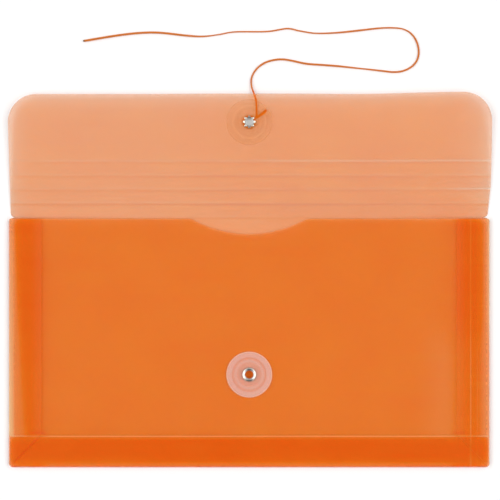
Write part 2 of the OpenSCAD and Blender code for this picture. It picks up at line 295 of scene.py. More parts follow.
# Under the flap's film the first stretch is painted deeper: painted shade, tinted as by the film.
painted_shade = climb(tree, along, 17 * MM, 11 * MM, 0.75)
thread_tone = mixed(tree, painted_shade, thread_tone, (0.97, 0.06, 0.0, 1))
past_tip = calc(tree, "SUBTRACT", along, (string_length - tip_length) * MM)
tip = calc(tree, "MINIMUM", 1, calc(tree, "MAXIMUM", 0, calc(tree, "DIVIDE", past_tip, 0.5 * MM)))
thread_tone = mixed(tree, tip, thread_tone, (0.2, 0.08, 0.02, 1))
surface(tree, thread_tone, fibres, 0.5, 0.00012)

twisted_cord = twisted_cord_tree()
tie_string = add_piece("tie_string_thread", cord_mesh(string_line, girth=string_girth))
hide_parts("tie_string")
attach(tie_string, "lid")


# String knot: the string's loop round the barrel of the flap's eyelet, its knot and the short tail.
# It is tied between film and button, which press the tail flat, and the film covers it.
film_t = 0.45
film_hole_r = 2.51
string_gap = 1.25
back_z = film_t / 2
knot_drop = film_t / 2 + string_gap / 2
knot_at = (3.9, 2.6)
knot_r = 0.45
tail_end = (9.1, 6.35)
tail_r = 0.8
tail_bow = 0.5
tail_flatness = 0.7
loop_r = film_hole_r + string_d / 2


def on_flap(x, y, z):
    """A point in the flap's own plane, in millimetres, to where the open flap lies."""
    lean, rise = cos(flap_tilt), sin(flap_tilt)
    return Vector((x, root_y + y * lean - z * rise, back_z + y * rise + z * lean))


def in_string_gap(points):
    """Points round the flap's eyelet, placed midway between film and button."""
    return [on_flap(x, flap_eyelet_y + y, -knot_drop) for x, y in points]


def joined(meshes):
    """Several meshes as one, with their attributes and materials."""
    parts = [bpy.data.objects.new("part", mesh) for mesh in meshes]
    for part in parts:
        scene.collection.objects.link(part)
    with bpy.context.temp_override(active_object=parts[0], selected_editable_objects=parts):
        bpy.ops.object.join()
    mesh = parts[0].data
    bpy.data.objects.remove(parts[0])
    return mesh


def turn_round(centre, r, count):
    """Points on a circle, in equal steps."""
    turns = [2 * pi * i / count for i in range(count)]
    return [(centre[0] + r * cos(a), centre[1] + r * sin(a)) for a in turns]


def pressed_flat(mesh, flatness):
    """Thins a mesh towards the plane midway between film and button."""
    middle = on_flap(0, flap_eyelet_y, -knot_drop) * MM
    normal = Vector((0, -sin(flap_tilt), cos(flap_tilt)))
    for vertex in mesh.vertices:
        vertex.co -= normal * (vertex.co - middle).dot(normal) * (1 - flatness)
    return mesh


tail = [(knot_at[0] + t * (tail_end[0] - knot_at[0]),
         knot_at[1] + t * (tail_end[1] - knot_at[1]) - tail_bow * sin(pi * t))
        for t in np.linspace(0, 1, 12)]
string_knot = add_piece("string_knot_thread", joined([
    cord_mesh(in_string_gap(turn_round((0, 0), loop_r, 48)), closed=True),
    cord_mesh(in_string_gap(turn_round(knot_at, knot_r, 24)), closed=True),
    pressed_flat(cord_mesh(in_string_gap(tail), radius=tail_r), tail_flatness)]))
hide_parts("string_knot")
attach(string_knot, "lid")


# Back panel: the rear of the folded polypropylene blank, a flat translucent sheet that lies on the table.
# It runs from the bottom fold to the flap's root crease, with the side folds left to the bellows.
# In the small spot under the pocket's eyelet, seen down its bore, the film is painted a dense vivid orange:
# painted light, for the orange light that the film lets into the pocket.
pocket_half_w = 127
corner_r = 2.5
bottom_y = -66
fold_r = 0.225
fold_out_r = fold_r + film_t
fold_mid_r = fold_r + film_t / 2
side_axis_x = pocket_half_w - fold_out_r
bottom_axis_y = bottom_y + fold_out_r
pocket_button_y = -16.9
light_spot_r = 2.6
seam = 0.4
hidden_cut = 0.01
worn_cut = 0.09
crease_dip = 0.08
# Pale tone of creased film, also used for the painted highlight on the rounded folds.
whitening_and_highlight = (0.99, 0.62, 0.3, 1)
deepened = (0.96, 0.045, 0.0, 1)


def fine_grain_group():
    """The matt grain of plastic. Its tone has clouds, a mottle and, on extruded film, streaks along X."""
    group, given = new_group(
        "fine_grain", "ShaderNodeTree",
        {"Grain Scale": "Float", "Cloud Scale": "Float", "Mottle Scale": "Float", "Streaks": "Float"},
        {"Tone": "Float", "Grain": "Float"})
    place = put(group, "ShaderNodeTexCoord").outputs["Object"]
    drawn_out = made(group, "ShaderNodeVectorMath", {0: place, 1: (0.02, 1, 1)}, operation="MULTIPLY")
    clouds = noise(group, place, given["Cloud Scale"], 3)
    mottle = noise(group, place, given["Mottle Scale"], 2)
    streaks = noise(group, drawn_out, 900, 2)
    grain = noise(group, place, given["Grain Scale"], 2)
    lines = times(group, calc(group, "SUBTRACT", streaks, 0.5), given["Streaks"])
    tone = calc(group, "ADD", times(group, clouds, 0.4), lines)
    tone = calc(group, "ADD", times(group, mottle, 0.6), tone)
    put(group, "NodeGroupOutput", {"Tone": climb(group, tone, 0.3, 0.7), "Grain": grain})
    return group


def film_material(name, alpha, deep, light, pale=whitening_and_highlight, shaded=deepened):
    """Translucent film of an uneven tone. The attribute crease whitens it, and shades it below zero."""
    material, tree = new_material(name, {"Alpha": alpha, "Specular IOR Level": 0.1, "IOR": 1.49})
    grain = put(tree, "ShaderNodeGroup", {
        "Grain Scale": 2600, "Cloud Scale": 38, "Mottle Scale": 800, "Streaks": 0.7}, node_tree=fine_grain)
    crease = attribute(tree, "crease")
    tone = mixed(tree, grain.outputs["Tone"], deep, light)
    tone = mixed(tree, crease, tone, pale)
    tone = mixed(tree, times(tree, crease, -1), tone, shaded)
    surface(tree, tone, grain.outputs["Grain"], 0.12, 0.0001, rough=(0.36, 0.16))
    return material


def inside(points, loops):
    """Which points lie in the first of some closed loops and outside the others, its holes."""
    x, y = points[:, 0], points[:, 1]
    odd = np.zeros(len(points), bool)
    for loop in loops:
        for (x0, y0), (x1, y1) in zip(loop, loop[1:] + loop[:1]):
            if y0 != y1:
                odd ^= ((y0 > y) != (y1 > y)) & (x < x0 + (y - y0) / (y1 - y0) * (x1 - x0))
    return odd


def evenly(a, b, step):
    """Points on a straight line from a to b, about a step apart, without b."""
    a, b = np.array(a, float), np.array(b, float)
    count = max(1, round(float(np.linalg.norm(b - a)) / step))
    return [tuple(a + (b - a) * i / count) for i in range(count)]


def flat_sheet(loops, lines, spacing):
    """The points and triangles of a flat sheet with holes, whose mesh follows the lines."""
    points, edges = [], []
    for line, is_open in [(loop, 0) for loop in loops] + [(line, 1) for line in lines]:
        first, count = len(points), len(line)
        points += line
        edges += [(first + i, first + (i + 1) % count) for i in range(count - is_open)]
    drawn = np.array(points)
    low, high = drawn.min(0) + spacing / 2, drawn.max(0)
    grid = np.array([(x, y) for y in np.arange(low[1], high[1], spacing)
                     for x in np.arange(low[0], high[0], spacing)])
    grid = grid[inside(grid, loops)]
    gap = np.full(len(grid), np.inf)
    for point in drawn:
        gap = np.minimum(gap, np.hypot(*(grid - point).T))
    points += [tuple(p) for p in grid[gap > spacing * 0.55]]
    flat, _, faces, *_ = delaunay_2d_cdt([Vector(p) for p in points], edges, [], 0, 1e-5)
    flat = np.array([tuple(p) for p in flat])
    faces = np.array(faces)
    faces = faces[inside(flat[faces].mean(1), loops)]
    a, b, c = (flat[faces[:, i]] for i in range(3))
    clockwise = (b[:, 0] - a[:, 0]) * (c[:, 1] - a[:, 1]) < (b[:, 1] - a[:, 1]) * (c[:, 0] - a[:, 0])
    faces[clockwise] = faces[clockwise][:, ::-1]
    return flat, faces.tolist()


def film_sheet(film, edge, outline, holes, lines, place, crease, cut, spacing=3.0):
    """A closed thin sheet. Lines are rows of points that the mesh follows, place(x, y, h) puts a point at a
    height over the film's middle, and cut(x, y) is the width of the worn bevel on an edge, small where the
    film goes on in the next piece."""
    flat, faces = flat_sheet([outline, *holes], lines, spacing)
    sides = {(f[i], f[(i + 1) % 3]) for f in faces for i in range(3)}
    rim = [side for side in sides if (side[1], side[0]) not in sides]
    inward = {}
    for i, j in rim:
        along = flat[j] - flat[i]
        left = np.array((-along[1], along[0])) / np.linalg.norm(along)
        for end in (i, j):
            inward[end] = inward.get(end, 0) + left
    verts, marks = [], []
    index = {}

    def add(key, x, y, h):
        index[key] = len(verts)
        verts.append(place(x, y, h) * MM)
        marks.append(crease(x, y))

    for i in sorted({i for f in faces for i in f}):
        x, y = flat[i]
        thin = film_t / 2 - crease_dip * max(0.0, crease(x, y))
        bevel = cut(x, y) if i in inward else 0
        inset = inward[i] / np.linalg.norm(inward[i]) * bevel if i in inward else (0, 0)
        add(("top", i), x + inset[0], y + inset[1], thin)
        add(("under", i), x + inset[0], y + inset[1], -thin)
        if i in inward:
            add(("upper", i), x, y, thin - bevel)
            add(("lower", i), x, y, bevel - thin)
    polygons = [[index["top", i] for i in f] for f in faces]
    polygons += [[index["under", i] for i in f[::-1]] for f in faces]
    at_seam = {(i, j): min(cut(*flat[i]), cut(*flat[j])) <= hidden_cut for i, j in rim}
    walls = len(polygons) + 3 * sum(at_seam.values())
    for i, j in sorted(rim, key=lambda side: not at_seam[side]):
        for below, above in (("under", "lower"), ("lower", "upper"), ("upper", "top")):
            polygons.append([index[below, i], index[below, j], index[above, j], index[above, i]])
    return finish_film(new_mesh(verts, polygons, crease=marks), film, edge, walls)


def finish_film(mesh, film, edge, walls):
    """Film on the faces, and the tone of a cut edge on the walls."""
    mesh.materials.append(film)
    mesh.materials.append(edge)
    for polygon in mesh.polygons:
        polygon.material_index = 1 if polygon.index >= walls else 0
        polygon.use_smooth = True
    mesh.update()
    mesh.set_sharp_from_angle(angle=radians(35))
    return mesh


def arc(centre, r, start, end, count):
    """Points on an arc, with its angles in degrees and both ends."""
    return [(centre[0] + r * cos(radians(a)), centre[1] + r * sin(radians(a)))
            for a in np.linspace(start, end, count)]


def flipped(line):
    """A line's mirror image on the other side of the envelope, drawn backwards."""
    return [(-x, y) for x, y in reversed(line)]


def panel_side(top_y):
    """The right edge of a pocket panel, from the bottom fold to its top corner."""
    reach = sqrt(corner_r ** 2 - (side_axis_x - pocket_half_w + corner_r) ** 2)
    centre = (pocket_half_w - corner_r, root_y - corner_r)
    low = degrees(asin(reach / corner_r))
    high = degrees(asin(min(1, (top_y - centre[1]) / corner_r)))
    foot = (side_axis_x, bottom_y + corner_r - reach)
    toe = (pocket_half_w - corner_r + reach, bottom_axis_y)
    upright = evenly(foot, (side_axis_x, centre[1] + reach), 3)
    return [toe, *upright, *arc(centre, corner_r, low, high, 4)]


fine_grain = fine_grain_group()
back_film = film_material("back_film", 0.385, (0.9, 0.252, 0.002, 1), (0.94, 0.315, 0.006, 1))
# Painted light: the dense vivid orange of the spot seen down the pocket eyelet's bore.
light_spot_film = film_material("light_spot_film", 0.85, (1.0, 0.2, 0.01, 1), (1.0, 0.24, 0.02, 1))
outer_edge = film_material("outer_edge", 0.55, (0.66, 0.3, 0.13, 1), (0.7, 0.34, 0.17, 1),
                           (0.8, 0.4, 0.2, 1), (0.6, 0.2, 0.1, 1))
back_side = panel_side(root_y - seam)
light_spot_rings = [turn_round((0, pocket_button_y), r, 32) for r in (light_spot_r, light_spot_r / 2)]
back_panel = add_piece("back_panel_film", film_sheet(
    back_film, outer_edge, back_side + flipped(back_side), [], [ring + ring[:1] for ring in light_spot_rings],
    lambda x, y, h: Vector((x, y, back_z + h)), lambda x, y: 0.0, lambda x, y: hidden_cut, spacing=4.0))
back_panel.data.materials.append(light_spot_film)
for polygon in back_panel.data.polygons:
    if hypot(polygon.center.x, polygon.center.y - pocket_button_y * MM) < light_spot_r * MM:
        polygon.material_index = 2
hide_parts("back_panel")
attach(back_panel, "back")


# Bellows leaves: six strips of the same blank, creased and folded inwards on both sides and at the bottom.
# Each has a rolled fold on the pocket's edge, and the two bottom corners are mitred.
leaf_depth = 17
leaf_len = leaf_depth - fold_out_r
leaf_gap = 0.4
mitre_gap = 0.3
mouth_y = 65.4
lower_axis_z = back_z + fold_mid_r
upper_axis_z = lower_axis_z + fold_mid_r + film_t + leaf_gap + fold_mid_r
front_z = upper_axis_z + fold_mid_r
leaf_levels = (("lower", "back", lower_axis_z, 1), ("upper", "front", upper_axis_z, -1))
score_y = -49.5
leaf_edge = film_material("leaf_edge", 0.6, (0.75, 0.1, 0.008, 1), (0.8, 0.12, 0.01, 1))
leaf_film = film_material("leaf_film", 0.38, (0.97, 0.1, 0.001, 1), (0.99, 0.15, 0.003, 1))


def near(distance, width):
    return exp(-(distance / width) ** 2)


def ramp(value, start, end):
    t = min(1.0, max(0.0, (value - start) / (end - start)))
    return t * t * (3 - 2 * t)


def edge_haze(depth, side, y):
    """How pale the fold makes the film, by the distance from the pocket's edge and the place along it. The
    pale is partly the whitening of the creased film and partly a painted highlight on the rounded fold.
    The folds stand a little open towards the bottom, where they are paler. Below zero the film is deeper."""
    depth = max(0.0, depth)
    down = mouth_y - y
    if side == "bottom":
        return 0.24 * exp(-depth / 3) - 0.12 * exp(-depth / 0.6) - 0.1
    if side == "left" and y < score_y:
        return 0.65 * exp(-depth / 1.7)
    if side == "left":
        reach = 2.6 + 0.058 * down
        band = 0.26 * (1 - ramp(depth, reach - 2, reach + 2))
        return (0.18 + 0.0055 * down) * exp(-(depth / 2.4) ** 4) + band
    if y < score_y:
        return 0.9 * exp(-depth / 0.8) + 0.2 * exp(-depth / 2.4) - 0.06
    opened = ramp(down, 45, 75)
    lift = 0.16 * opened * (1 - ramp(depth, 15, 42)) - 0.09
    return (1 - 0.55 * opened) * exp(-depth / 0.8) + (0.34 - 0.14 * opened) * near(depth, 3.4) + lift


def leaf_section():
    """The fold and leaf in section: inwards from the fold's axis, and up."""
    turns = np.linspace(0, pi, 19)
    flat = np.concatenate([np.arange(0.6, 6, 0.9), np.arange(6.5, leaf_len - 0.4, 1.2)])
    outer = [(-fold_out_r * sin(a), -fold_out_r * cos(a)) for a in turns]
    inner = [(-fold_r * sin(a), -fold_r * cos(a)) for a in reversed(turns)]
    tip = [(leaf_len - worn_cut, fold_out_r), (leaf_len, fold_out_r - worn_cut),
           (leaf_len, fold_r + worn_cut), (leaf_len - worn_cut, fold_r)]
    return outer + [(u, fold_out_r) for u in flat] + tip + [(u, fold_r) for u in reversed(flat)] + inner


def leaf_mark(u, side, y):
    """The leaf is pale at its fold, and again towards its inner crease."""
    strength, width = (0.4, 4) if side == "bottom" else (0.5, 6)
    fade = strength * ramp(u, leaf_len - width, leaf_len)
    return min(1.0, edge_haze(u + fold_out_r, side, y) + fade)


def corner_start(depth):
    """How far from the pocket's corner an edge begins that lies this deep inside the outline."""
    shy = max(0.0, corner_r - depth)
    return corner_r - sqrt(corner_r ** 2 - shy ** 2)


def leaf_ends(depth, side):
    """Where a leaf starts and ends along its edge."""
    mitre = max(corner_start(depth), depth + mitre_gap / sqrt(2))
    if side == "bottom":
        return mitre - pocket_half_w, pocket_half_w - mitre
    return bottom_y + mitre, min(mouth_y, root_y - corner_start(depth))


def face_outwards(mesh):
    """Turns a closed mesh's faces outwards."""
    shell = bmesh.new()
    shell.from_mesh(mesh)
    bmesh.ops.recalc_face_normals(shell, faces=shell.faces)
    shell.to_mesh(mesh)
    shell.free()


def grid_faces(rows, columns, open_rows=0, open_columns=0):
    """Faces between rows of points. The last row or column meets the first one, unless it is open."""
    faces = []
    for a in range(rows - open_rows):
        for j in range(columns - open_columns):
            b, after = (a + 1) % rows, (j + 1) % columns
            faces.append([a * columns + j, b * columns + j, b * columns + after, a * columns + after])
    return faces


def leaf_mesh(side, axis_z, way):
    """The section swept along the pocket's edge, upwards or, where way is -1, downwards from its fold."""
    section = leaf_section()
    columns = 64
    verts, marks = [], []
    for u, w in section:
        start, end = leaf_ends(u + fold_out_r, side)
        z = axis_z + way * w
        for s in np.linspace(start, end, columns):
            if side == "bottom":
                verts.append(Vector((s, bottom_axis_y + u, z)) * MM)
            else:
                x = side_axis_x - u
                verts.append(Vector((x if side == "right" else -x, s, z)) * MM)
            marks.append(leaf_mark(u, side, s))
    count = len(section)
    faces = grid_faces(count, columns, open_columns=1)
    walls = len(faces)
    for end in (0, columns - 1):
        for k in range(count // 2 - 1):
            a, b = k * columns + end, (count - 1 - k) * columns + end
            faces.append([a, b, b - columns, a + columns])
    mesh = finish_film(new_mesh(verts, faces, crease=marks), leaf_film, leaf_edge, walls)
    face_outwards(mesh)
    return mesh


for side in ("left", "right", "bottom"):
    for level, panel, axis_z, way in leaf_levels:
        node = f"{side}_leaf_{level}"
        leaf = add_piece(node + "_film", leaf_mesh(side, axis_z, way))
        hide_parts(node)
        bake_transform(leaf)


# Front panel: the face of the pocket, with a thumb notch in its mouth and a hole for the button's eyelet.
# One score line crosses it above the bottom bellows, and two more run up its right side.
notch_half_w = 30.5
notch_depth = 8.1
notch_r = (notch_half_w ** 2 + notch_depth ** 2) / (2 * notch_depth)
notch_ease_r = 8
mouth_sag = 1.5
front_wave = 0.09
side_scores = [(116.95, 0.5), (120.4, 0.2)]
score_offsets = (-0.7, -0.35, -0.15, 0, 0.15, 0.35, 0.7)
front_edge = film_material("front_edge", 0.3, (0.96, 0.38, 0.14, 1), (0.98, 0.42, 0.17, 1))
front_film = film_material("front_film", 0.4, (0.985, 0.2, 0.002, 1), (1.0, 0.262, 0.008, 1))


def notch_line():
    """The notch from its right end to its left one: an arc, eased at both ends."""
    rise = notch_r - notch_depth
    ease_x = sqrt((notch_r + notch_ease_r) ** 2 - (rise + notch_ease_r) ** 2)
    lean = degrees(atan2(ease_x, rise + notch_ease_r))
    ease = arc((ease_x, mouth_y - notch_ease_r), notch_ease_r, 90, 90 + lean, 7)
    bow = arc((0, mouth_y + rise), notch_r, lean - 90, -90 - lean, 61)
    return ease + bow[1:-1] + flipped(ease)


def beyond(distance, reach):
    """One up to an edge, and then a soft fall."""
    return exp(-max(0.0, distance) / reach)


def mouth_gap(x, y):
    """How far a point lies below the mouth or the notch."""
    return max(0.0, min(mouth_y - y, hypot(x, y - mouth_y - notch_r + notch_depth) - notch_r))


def front_crease(x, y):
    """Scores, folds and the cut mouth are pale. Over the bellows behind, the film is painted deeper, with a
    soft
    edge doubled in the corners: painted shadow of the bellows. On the left the line of its mitre is deeper."""
    scores = [0.5 * near(y - score_y, 0.32)]
    scores += [strength * near(x - at, 0.25) for at, strength in side_scores]
    left, right, bottom = pocket_half_w + x, pocket_half_w - x, y - bottom_y
    pale = max(scores) + 0.3 * beyond(mouth_gap(x, y), 0.75)
    pale += max(edge_haze(left, "left", y), edge_haze(right, "right", y) + 0.09,
                edge_haze(bottom, "bottom", y) + 0.1)
    # Painted shadow of the bellows: deeper over the bands, and fading softly past their inner edges.
    lower = ramp(mouth_y - y, 45, 85)
    deep = (0.29 - 0.12 * lower) * ramp(left, 2, 8) + 0.08 * ramp(left, 13, leaf_depth)
    deep *= beyond(left - leaf_depth, 2.6)
    deep_right = (0.37 - 0.09 * lower) * beyond(right - leaf_depth, 3.0) * ramp(right, 2.5, leaf_depth - 9)
    in_band = 1 - ramp(bottom, 14, 16.5)
    deep_low = 0.38 * beyond(bottom - leaf_depth, 0.6) * ramp(bottom, 1, 5) * in_band
    aside = min(left, right)
    corner = near(bottom - leaf_depth - 1.4, 1.1) * ramp(aside, 8, 14) * (1 - ramp(aside, 18, 22))
    mitre = 0.3 * near((left - bottom) / sqrt(2), 0.35) * ramp(bottom, 1, 4) * in_band
    return min(1.0, pale - max(deep, deep_right, deep_low, 0.6 * corner) - mitre)


def front_place(x, y, h):
    """The film waves a little, and its mouth sags between the bellows."""
    calm = 1 - near(hypot(x, y - pocket_button_y), 22)
    wave = front_wave * sin(x / 29 + 0.7) * sin(y / 23 + 0.4) * calm
    sag = mouth_sag * ramp(y, 15, 62) * (1 - ramp(abs(x), 60, 106))
    return Vector((x, y, front_z + wave - sag + h))


def front_cut(x, y):
    """The mouth and the notch are cut. The other edges go on in the folds."""
    return worn_cut if y > mouth_y - 9 and abs(x) < 126 else hidden_cut


def shifted(line, distance):
    """A line beside another one, to its left."""
    ahead = np.gradient(np.array(line), axis=0)
    left = np.stack([-ahead[:, 1], ahead[:, 0]], 1) / np.linalg.norm(ahead, axis=1)[:, None]
    return [tuple(p) for p in np.array(line) + left * distance]


front_side = panel_side(mouth_y)
notch = notch_line()
mouth = evenly(front_side[-1], notch[0], 3)[1:] + notch
mouth += evenly(notch[-1], (-front_side[-1][0], front_side[-1][1]), 3)[1:]
rows = [score_y + d for d in score_offsets] + [bottom_y + d for d in (1.2, 2.0, 3.5, 5.5, 18.2, 19.2, 20.5)]
columns = [at + d for at, _ in side_scores for d in score_offsets[1:-1]]
columns += [pocket_half_w - d for d in (1.2, 1.9, 2.8, 4.2, 15.5, 17, 18.5, 20.5)]
columns += [d - pocket_half_w for d in (1.9, 3.3, 5.2, 7.5, 9.5, 11.5, 15.5, 17, 18.2, 20)]
front_lines = [[*evenly((-side_axis_x, y), (side_axis_x, y), 3), (side_axis_x, y)] for y in rows]
front_lines += [[*evenly((x, bottom_axis_y), (x, mouth_y), 3), (x, mouth_y)] for x in columns]
front_lines += [[p for p in shifted(mouth, d) if abs(p[0]) < 105] for d in (0.5, 1.1, 2.0)]
mitre_line = evenly((2 - pocket_half_w, bottom_y + 2), (16.4 - pocket_half_w, bottom_y + 16.4), 1.2)
front_lines += [shifted(mitre_line, d) for d in score_offsets]
front_panel = add_piece("front_panel_film", film_sheet(
    front_film, front_edge, front_side + mouth + flipped(front_side),
    [turn_round((0, pocket_button_y), film_hole_r, 48)], front_lines, front_place, front_crease, front_cut))
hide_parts("front_panel")
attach(front_panel, "front")


# Flap: the tongue of the blank that closes the pocket, with four score lines across it, so that it wraps over
# a full pocket. Its pieces meet just before each crease.
# The free corners curl up a little, the right one more.
flap_len = 65.3
flap_root_half = 126.25
flap_flare = 1.7
flap_corner_r = 15
flap_wave = 0.12
left_curl = 0.3
right_curl = 0.95
left_tuck = 0.35
right_rise = 1.15
middle_rise = 0.2
score_pitch = 7.35
bend_half = 0.34
crease_rows = (-0.3, -0.15, 0, 0.15, 0.3, 0.45, 0.6, 0.75, 0.9, 1.1, 1.4)
rows_before = (1.2, 1.0, 0.8, 0.65, 0.5)
# Per score: its painted highlight, the highlight on the right part, where that part starts, and its painted
# shade.
crease_marks = [(0.06, 0.08, 85, 0.12), (0.14, 0.17, 85, 0.6), (0.12, 0.45, 96, 0.4), (0.1, 0.14, 0, 0.4),
                (0.2, 0.4, 0, 0.22)]
flap_slope = flap_flare / flap_len
flap_lean = atan(flap_slope)
outer_film = film_material("outer_film", 0.38, (0.885, 0.24, 0.002, 1), (0.925, 0.304, 0.006, 1),
                           (0.76, 0.66, 0.5, 1), (0.72, 0.14, 0.002, 1))


def rounded_half(y, centre_y, r):
    """Half the flap's width where a corner of radius r rounds it."""
    centre_x = flap_root_half + centre_y * flap_slope - r / cos(flap_lean)
    return centre_x + sqrt(max(0.0, r ** 2 - (y - centre_y) ** 2))


def flap_half(y):
    """Half the flap's width at a distance from the root crease. Below it, that is the back panel's corner."""
    if y < 0:
        return pocket_half_w - corner_r + sqrt(corner_r ** 2 - (corner_r + y) ** 2)
    if y < corner_r * (1 - sin(flap_lean)):
        return rounded_half(y, corner_r, corner_r)
    if y > flap_len - flap_corner_r * (1 + sin(flap_lean)):
        return rounded_half(y, flap_len - flap_corner_r, flap_corner_r)
    return flap_root_half + y * flap_slope


def flap_place(x, y, h):
    """The film waves and its corners curl. The right side bows out, and the right corner lies further out."""
    if y < 0:
        return Vector((x, root_y + y, back_z + h))
    curl = (right_curl if x > 0 else left_curl) * ramp(abs(x), 88, 128) ** 1.5 * ramp(y, 34, flap_len) ** 1.3
    wave = flap_wave * sin(x / 24 + 0.5) * ramp(y, 30, 60)
    wave *= 1 - near(hypot(x, y - flap_eyelet_y), 20)
    bow = ramp(y, 0, 18) * (1 - 0.6 * ramp(y, 25, 60)) * ramp(x, 80, 127)
    tuck = left_tuck * ramp(y, 10, 60) * ramp(-x, 80, 127)
    rise = (right_rise * ramp(x, 55, 112) - middle_rise * ramp(abs(x), 15, 60)) * ramp(y, 20, flap_len)
    return on_flap(x + bow + tuck, y + rise, h + curl + wave)


covered_threads = [
    [*evenly(knot_at, (4.1, 9), 0.5), *evenly((4.1, 9), (3.05, 13.8), 0.5)],
    evenly((5, 3.2), tail_end, 0.5)]
covered_threads = [[(x, flap_eyelet_y + y) for x, y in thread] for thread in covered_threads]


def score_mark(x, y):
    """Each score is a pale ridge, whose right part is paler, beside a deeper groove: the painted highlight
    and painted shade of its relief. Between them the film is paler on the left, and deeper at the root on the
    right: painted light and shade."""
    mark = 0.05 * ramp(-x, -20, 60) - 0.1 * ramp(x, -10, 40) * (1 - ramp(y, 5, 14))
    for i, (pale, pale_right, right_from, deep) in enumerate(crease_marks):
        past = y - i * score_pitch
        ridge = pale + (pale_right - pale) * ramp(x, right_from, right_from + 20)
        mark += ridge * near(past - 0.6, 0.38)
        mark -= deep * (0.4 + 0.6 * near(x - 15, 60)) * near(past + 0.4, 0.42)
    return mark


def flap_sheet(start, end, crease_y):
    """A strip of the flap or, at its free end, the lid with the eyelet's hole."""
    is_lid = end == flap_len
    rows = [crease_y + d for d in crease_rows]
    rows += [crease_y + score_pitch - d for d in rows_before if not is_lid]
    samples = list(np.arange(start, end, 1.5)) + [end] + rows
    samples += [corner_r * (1 - cos(a)) for a in np.linspace(0, pi / 2, 7)]
    samples += [flap_len - flap_corner_r * (1 - sin(a)) for a in np.linspace(0, pi / 2, 19)]
    heights = sorted({round(float(y), 4) for y in samples if start <= y <= end})
    side = [(flap_half(y), y) for y in heights]
    outline = [*evenly((-side[0][0], start), side[0], 3), *side]
    outline += evenly(side[-1], (-side[-1][0], end), 3)[1:] + flipped(side)[:-1]
    lines = [[*evenly((-flap_half(y), y), (flap_half(y), y), 3), (flap_half(y), y)] for y in rows]
    holes = []
    if is_lid:
        holes = [turn_round((0, flap_eyelet_y), film_hole_r, 48)]
        lines += [shifted(thread, d) for thread in covered_threads
                  for d in (-1.2, -0.8, -0.4, 0, 0.4, 0.8, 1.2)]

    def score(x, y):
        to_side = max(0.0, flap_half(y) - abs(x))
        # Near its edges the flap is painted paler, the right side more: painted light, for light reaching
        # under the edges.
        rim = 0.35 * exp(-min(to_side, flap_len - y) / 3.9)
        rim = max(rim, 0.36 * exp(-to_side / 8.5) if x > 0 else 0)
        if not is_lid:
            return rim + score_mark(x, y)
        # Round the eyelet the film is painted deeper: painted shadow of the eyelet, knot and loop beneath it.
        painted_shade = 0.3 * near(hypot(x, y - flap_eyelet_y), 4.5)
        to_thread = min(hypot(x - px, y - py) for thread in covered_threads for px, py in thread)
        return rim + score_mark(x, y) - max(painted_shade, 0.6 * near(to_thread, 0.75))

    def cut(x, y):
        at_seam = abs(y - start) < 0.01 or (abs(y - end) < 0.01 and not is_lid)
        return hidden_cut if at_seam else worn_cut

    return film_sheet(outer_film, outer_edge, outline, holes, lines, flap_place, score, cut)


flap_bodies = ["back", *(f"flap_strip_{i}" for i in (1, 2, 3, 4)), "lid"]
for i in range(5):
    node = flap_bodies[i + 1] if i < 4 else "flap_lid"
    crease_y = i * score_pitch
    end = (i + 1) * score_pitch - seam if i < 4 else flap_len
    strip = add_piece(node + "_film", flap_sheet(crease_y - seam, end, crease_y))
    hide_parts(node)
    flap_place(0, crease_y - bend_half, 0) * MM
    flap_place(0, crease_y + bend_half, 0) * MM
    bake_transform(strip)


# Buttons: two frosted moulded discs that the string is wound round, one on the pocket and one under the flap.
# Each has a flat seat, a dished web with two turned grooves, and a rolled rim, and turns on its eyelet.
button_r = 12.1
button_t = 1.0
seat_r = 4.8
rim_r = 0.45
rim_mid_z = 0.35 + rim_r
web_half = 0.3
groove_radii = (6.05, 8.85)
groove_depth = 0.15
groove_shape = ((0.34, 0), (0.2, 0.25), (0.09, 0.85), (0, 1), (-0.09, 0.85), (-0.2, 0.25), (-0.34, 0))
stack_h = front_z + film_t / 2
ring_alphas = [("hub", 6.2, 0.13), ("web", 8.2, 0.18), ("groove", 9.35, 0.09), ("band", 11.75, 0.19),
               ("rim", 99, 0.28)]


def button_section():
    """The button's closed section: radius and height over its seat."""
    rim_x = button_r - rim_r
    meet = 180 - degrees(asin(web_half / rim_r))
    slope = (rim_mid_z + web_half - button_t) / (rim_x - seat_r)

    def top(r, dip=0.0):
        return r, button_t + slope * (r - seat_r) - dip

    section = [(film_hole_r + 0.1, 0), (seat_r - 0.15, 0), (seat_r, 0.03)]
    section += [(r, (rim_mid_z - web_half) * (r - seat_r) / (rim_x - seat_r))
                for r in np.linspace(5.6, 11, 6)]
    section += arc((rim_x, rim_mid_z), rim_r, -meet, meet, 21)
    section += [top(10.6), top(9.8)]
    for r in reversed(groove_radii):
        section += [top(r + offset, share * groove_depth) for offset, share in groove_shape]
        if r > 7:
            section.append(top(7.4))
    section += [(5.1, button_t), (seat_r, button_t + 0.05), (seat_r - 0.2, button_t + 0.06)]
    section += [(film_hole_r + 0.1, button_t + 0.06), (film_hole_r, button_t), (film_hole_r, 0.1)]
    return section


def smooth_outside(mesh):
    """Turns a closed mesh's faces outwards and shades it smooth, with its corners kept."""
    face_outwards(mesh)
    for polygon in mesh.polygons:
        polygon.use_smooth = True
    mesh.set_sharp_from_angle(angle=radians(50))
    return mesh


def turned(section, segments, place, materials, pick):
    """A closed section turned about the upright axis, then placed; pick(r) chooses the material of a face."""
    verts = []
    for i in range(segments):
        a = 2 * pi * i / segments
        verts += [place(r * cos(a), r * sin(a), z) * MM for r, z in section]
    mesh = new_mesh(verts, grid_faces(segments, len(section)))
    for material in materials:
        mesh.materials.append(material)
    picks = [pick((a[0] + b[0]) / 2) for a, b in zip(section, section[1:] + section[:1])]
    mesh.polygons.foreach_set("material_index", picks * segments)
    return smooth_outside(mesh)


def on_pocket(height):
    """Puts a turned piece on the pocket's eyelet, at this height."""
    return lambda x, y, z: Vector((x, y + pocket_button_y, height + z))


